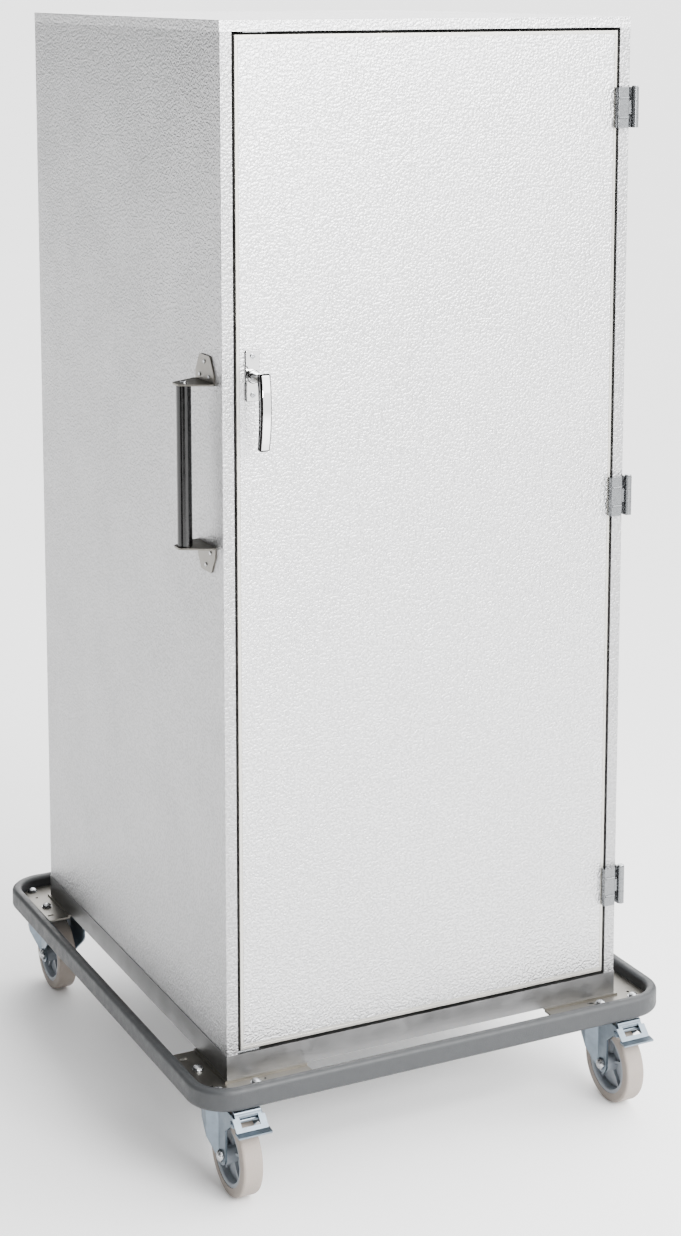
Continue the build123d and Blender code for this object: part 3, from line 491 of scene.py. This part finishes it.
# ---- Repeats ----
def seam_tree(material):
    """Rings round the X axis, side by side: the mould's parting lines on a tyre's shoulders."""
    tree = bpy.data.node_groups.new("Tyre mould seams", "GeometryNodeTree")
    sockets = tree.interface
    for name, kind in (
        ("Geometry", "NodeSocketGeometry"),
        ("Radius", "NodeSocketFloat"),
        ("Thickness", "NodeSocketFloat"),
        ("Spacing", "NodeSocketFloat"),
        ("Count", "NodeSocketInt"),
        ("Middle", "NodeSocketVector"),
    ):
        sockets.new_socket(name, in_out="INPUT", socket_type=kind)
    sockets.new_socket("Geometry", in_out="OUTPUT", socket_type="NodeSocketGeometry")
    given = add(tree, "NodeGroupInput").outputs
    less = add(tree, "ShaderNodeMath", {0: given["Count"], 1: 1.0}, operation="SUBTRACT").outputs[0]
    run = add(tree, "ShaderNodeMath", {0: less, 1: given["Spacing"]}, operation="MULTIPLY").outputs[0]
    half = add(tree, "ShaderNodeMath", {0: run, 1: -0.5}, operation="MULTIPLY").outputs[0]
    start = add(tree, "ShaderNodeCombineXYZ", {"X": half}).outputs[0]
    first = add(
        tree, "ShaderNodeVectorMath", {0: start, 1: given["Middle"]}, operation="ADD"
    ).outputs[0]
    step = add(tree, "ShaderNodeCombineXYZ", {"X": given["Spacing"]}).outputs[0]
    line = add(
        tree,
        "GeometryNodeMeshLine",
        {"Count": given["Count"], "Start Location": first, "Offset": step},
    ).outputs["Mesh"]
    ring = add(
        tree, "GeometryNodeCurvePrimitiveCircle", {"Resolution": 128, "Radius": given["Radius"]}
    )
    thread = add(
        tree, "GeometryNodeCurvePrimitiveCircle", {"Resolution": 6, "Radius": given["Thickness"]}
    )
    seam = add(
        tree,
        "GeometryNodeCurveToMesh",
        {"Curve": ring.outputs["Curve"], "Profile Curve": thread.outputs["Curve"]},
    ).outputs["Mesh"]
    stand = add(tree, "FunctionNodeEulerToRotation", {0: (0, math.pi / 2, 0)}).outputs[0]
    placed = add(
        tree,
        "GeometryNodeInstanceOnPoints",
        {"Points": line, "Instance": seam, "Rotation": stand},
    ).outputs["Instances"]
    real = add(tree, "GeometryNodeRealizeInstances", {"Geometry": placed}).outputs["Geometry"]
    done = add(tree, "GeometryNodeSetMaterial", {"Geometry": real, "Material": material})
    add(tree, "NodeGroupOutput", {"Geometry": done.outputs["Geometry"]})
    return tree


def grown(name, tree, sizes, material):
    """A plain mesh object from a tree with the given input values."""
    seed = bpy.data.objects.new(name + "_seed", bpy.data.meshes.new(name + "_seed"))
    bpy.context.scene.collection.objects.link(seed)
    modifier = seed.modifiers.new("shape", "NODES")
    modifier.node_group = tree
    for item in tree.interface.items_tree:
        if item.name in sizes and item.in_out == "INPUT":
            modifier[item.identifier] = sizes[item.name]
    view = bpy.context.evaluated_depsgraph_get()
    mesh = bpy.data.meshes.new_from_object(seed.evaluated_get(view))
    bpy.data.objects.remove(seed)
    mesh.name = name
    if not mesh.polygons:
        raise RuntimeError(f"{name} came out empty")
    mesh.materials.clear()
    mesh.materials.append(material)
    made = bpy.data.objects.new(name, mesh)
    bpy.context.scene.collection.objects.link(made)
    return made


# ---- Operators ----
class CART_OT_stage(bpy.types.Operator):
    """Makes the pale floor, the soft lights and the camera"""

    bl_idname = "cart.stage"
    bl_label = "Studio"

    def execute(self, context):
        studio = context.scene.cart_studio
        bpy.ops.mesh.primitive_plane_add(size=FLOOR_WIDTH)
        floor = context.active_object
        floor.name = "studio_floor"
        floor.data.materials.append(studio_floor(studio))
        world = bpy.data.worlds.new("Studio surroundings")
        world.use_nodes = True
        world.node_tree.nodes.clear()
        tree = world.node_tree
        toward = add(tree, "ShaderNodeTexCoord").outputs["Generated"]
        parts = add(tree, "ShaderNodeSeparateXYZ", {0: toward}).outputs
        start, end = BRIGHTENS_RIGHT
        side = add(
            tree,
            "ShaderNodeMapRange",
            {
                "Value": parts["X"],
                "From Min": start,
                "From Max": end,
                "To Min": studio.dim,
                "To Max": studio.bright,
            },
            interpolation_type="SMOOTHSTEP",
        ).outputs["Result"]
        start, end = BRIGHTENS_UP
        above = add(
            tree,
            "ShaderNodeMapRange",
            {"Value": parts["Z"], "From Min": start, "From Max": end, "To Max": studio.top},
            interpolation_type="SMOOTHSTEP",
        ).outputs["Result"]
        strength = add(tree, "ShaderNodeMath", {0: side, 1: above}, operation="ADD").outputs[0]
        # The backdrop itself stays one plain pale tone, and only its light differs from side to side.
        seen = add(tree, "ShaderNodeLightPath").outputs["Is Camera Ray"]
        strength = add(
            tree,
            "ShaderNodeMix",
            {FACTOR: seen, NUMBER_A: strength, NUMBER_B: studio.plain},
            data_type="FLOAT",
        ).outputs[NUMBER_OUT]
        sky = add(tree, "ShaderNodeBackground", {"Color": rgba(studio.backdrop), "Strength": strength})
        add(tree, "ShaderNodeOutputWorld", {"Surface": sky.outputs["Background"]})
        context.scene.world = world
        for name, place, size, power in LAMPS:
            data = bpy.data.lights.new(name, "AREA")
            data.size = size
            data.energy = power
            light = bpy.data.objects.new(name, data)
            light.location = place
            light.rotation_euler = (LAMPS_AIM - Vector(place)).to_track_quat("-Z", "Y").to_euler()
            context.scene.collection.objects.link(light)
        cloth = flag_cloth()
        for name, place, width in FLAGS:
            bpy.ops.mesh.primitive_plane_add(size=1)
            flag = context.active_object
            flag.name = name
            facing = (FLAGS_AIM - Vector(place)).to_track_quat("Z", "Y").to_matrix().to_4x4()
            wide = Matrix.Diagonal((width, FLAG_HEIGHT, 1, 1))
            flag.data.transform(Matrix.Translation(place) @ facing @ wide)
            flag.data.materials.append(cloth)
            flag.visible_camera = False
            flag.visible_shadow = False
            flag.visible_diffuse = False
        data = bpy.data.cameras.new("camera")
        data.lens = studio.lens
        data.sensor_width = SENSOR_WIDTH
        data.shift_y = CAMERA_SHIFT
        data.clip_end = CAMERA_REACH
        camera = bpy.data.objects.new("camera", data)
        camera.location = CAMERA_PLACE
        camera.rotation_euler = (math.radians(CAMERA_TILT), 0, math.radians(CAMERA_TURN))
        context.scene.collection.objects.link(camera)
        context.scene.camera = camera
        return {"FINISHED"}


class CART_OT_cabinet(bpy.types.Operator):
    """Finishes the walls, the roof, the door and the inside"""

    bl_idname = "cart.cabinet"
    bl_label = "Cabinet and door"

    def execute(self, context):
        metals = context.scene.cart_metals
        # Painted shade: the walls get the darker wall colour, which stands in for the shade on the sides.
        walls_in_painted_shade = embossed_sheet("Stucco embossed wall sheet in painted shade", metals, metals.walls_in_painted_shade)
        coat(["side_panel_left", "side_panel_right", "back_panel"], walls_in_painted_shade)
        roof = embossed_sheet("Stucco embossed roof sheet", metals, metals.sheet)
        coat(["roof_panel"], roof)
        rim = (*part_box("door_skin"), metals.hem_side, metals.hem_foot)
        door = embossed_sheet("Stucco embossed door skin", metals, metals.sheet, rim)
        coat(["door_skin"], door)
        inner = ["liner_left", "liner_right", "liner_back", "liner_roof", "door_liner"]
        inner += ["shelf_uprights", "shelf_1", "shelf_2", "shelf_3", "floor_panel"]
        coat(inner, plain_sheet(metals))
        return {"FINISHED"}


class CART_OT_base(bpy.types.Operator):
    """Finishes the plinth, the corner plates, the brackets and other stainless sheet"""

    bl_idname = "cart.base"
    bl_label = "Stainless sheet"

    def execute(self, context):
        metals = context.scene.cart_metals
        names = ["base_plinth", "door_frame", "lock_case", "shelf_clips"]
        satin = brushed_stainless("Brushed stainless steel", metals, metals.stainless, 0.42)
        coat(names, satin)
        names = ["handle_bracket_upper", "handle_bracket_lower"]
        names += [f"corner_plate_{corner}" for corner in CASTORS]
        warm = brushed_stainless("Pressed stainless steel", metals, metals.pressed, 0.34)
        coat(names, warm)
        return {"FINISHED"}


class CART_OT_fittings(bpy.types.Operator):
    """Finishes the hinges, the lock, the bolts and the axles"""

    bl_idname = "cart.fittings"
    bl_label = "Fittings"

    def execute(self, context):
        metals = context.scene.cart_metals
        coat(["lock_plate", "door_lever"], chrome_plate(metals))
        names = ["hinge_leaves_body", "hinge_leaves_door"]
        coat(names, plated_bolts("Zinc plated hinges", metals.hinge))
        names = ["hinge_pins", "hinge_screws"]
        names += ["lock_plate_screws", "lock_keepers", "lock_rod_upper", "lock_rod_lower"]
        names += ["handle_fasteners", "bumper_screws", "castor_bolts"]
        names += ["axle_front_left", "axle_front_right", "axles_rear"]
        coat(names, plated_bolts("Zinc plated fasteners", metals.bolts))
        return {"FINISHED"}


class CART_OT_castors(bpy.types.Operator):
    """Finishes forks, pedals, wheels and tyres"""

    bl_idname = "cart.castors"
    bl_label = "Castors"

    def execute(self, context):
        metals = context.scene.cart_metals
        plastics = context.scene.cart_plastics
        names = [f"castor_fork_{corner}" for corner in CASTORS]
        names += ["castor_plate_front_left", "castor_plate_front_right"]
        names += ["brake_pedal_front_left", "brake_pedal_front_right"]
        coat(names, zinc_plate(metals))
        rim = moulded("Moulded polypropylene", plastics.rim, plastics.grain, 0.45, 0.2)
        coat([f"wheel_rim_{corner}" for corner in CASTORS], rim)
        tyre = moulded("Non-marking grey rubber", plastics.tyre, plastics.grain, 0.72, 0.35)
        coat([f"tyre_{corner}" for corner in CASTORS], tyre)
        tree = seam_tree(tyre)
        for corner in CASTORS:
            low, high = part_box(f"tyre_{corner}")
            # Each line lies part of the way round its shoulder, so it stays clear of the floor.
            around = math.radians(42)
            inset = plastics.shoulder * (1 - math.sin(around))
            sizes = {
                "Radius": (high.z - low.z) / 2 - plastics.shoulder * (1 - math.cos(around)),
                "Thickness": plastics.seam,
                "Spacing": high.x - low.x - 2 * inset,
                "Count": 2,
                "Middle": (low + high) / 2,
            }
            seams = grown(f"tyre_seams_{corner}", tree, sizes, tyre)
            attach(seams, f"wheel_{corner}")
        return {"FINISHED"}


class CART_OT_trim(bpy.types.Operator):
    """Finishes the bumper ring, the door seal and the grip"""

    bl_idname = "cart.trim"
    bl_label = "Bumper, seal and grip"

    def execute(self, context):
        plastics = context.scene.cart_plastics
        bumper = moulded("Extruded grey rubber", plastics.bumper, plastics.grain, 0.5, 0.25)
        coat(["bumper_ring"], bumper)
        seal = moulded("Black foam rubber", plastics.seal, plastics.grain, 0.75, 0.3)
        coat(["door_seal"], seal)
        grip = moulded("Gloss black nylon", plastics.grip, plastics.grain, 0.14, 0.01)
        coat(["handle_grip"], grip)
        return {"FINISHED"}


class CART_PT_sidebar(bpy.types.Panel):
    """Lists the cart's steps in the sidebar"""

    bl_label = "Housekeeping cart"
    bl_idname = "CART_PT_sidebar"
    bl_space_type = "VIEW_3D"
    bl_region_type = "UI"
    bl_category = "Cart"

    def draw(self, context):
        for step in STEPS:
            self.layout.operator(step.bl_idname)
        for settings in ("cart_metals", "cart_plastics", "cart_studio"):
            group = getattr(context.scene, settings)
            for name in group.__annotations__:
                self.layout.prop(group, name)


SETTINGS = {"cart_metals": CartMetals, "cart_plastics": CartPlastics, "cart_studio": CartStudio}
STEPS = (
    CART_OT_stage,
    CART_OT_cabinet,
    CART_OT_base,
    CART_OT_fittings,
    CART_OT_castors,
    CART_OT_trim,
)


def register():
    for kind in (*SETTINGS.values(), *STEPS, CART_PT_sidebar):
        bpy.utils.register_class(kind)
    for name, kind in SETTINGS.items():
        setattr(bpy.types.Scene, name, bpy.props.PointerProperty(type=kind))


def unregister():
    for name in SETTINGS:
        delattr(bpy.types.Scene, name)
    for kind in (CART_PT_sidebar, *reversed(STEPS), *SETTINGS.values()):
        bpy.utils.unregister_class(kind)


def main():
    """Registers the add-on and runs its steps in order."""
    register()
    for step in STEPS:
        group, name = step.bl_idname.split(".")
        getattr(getattr(bpy.ops, group), name)()


if __name__ == "__main__":
    main()
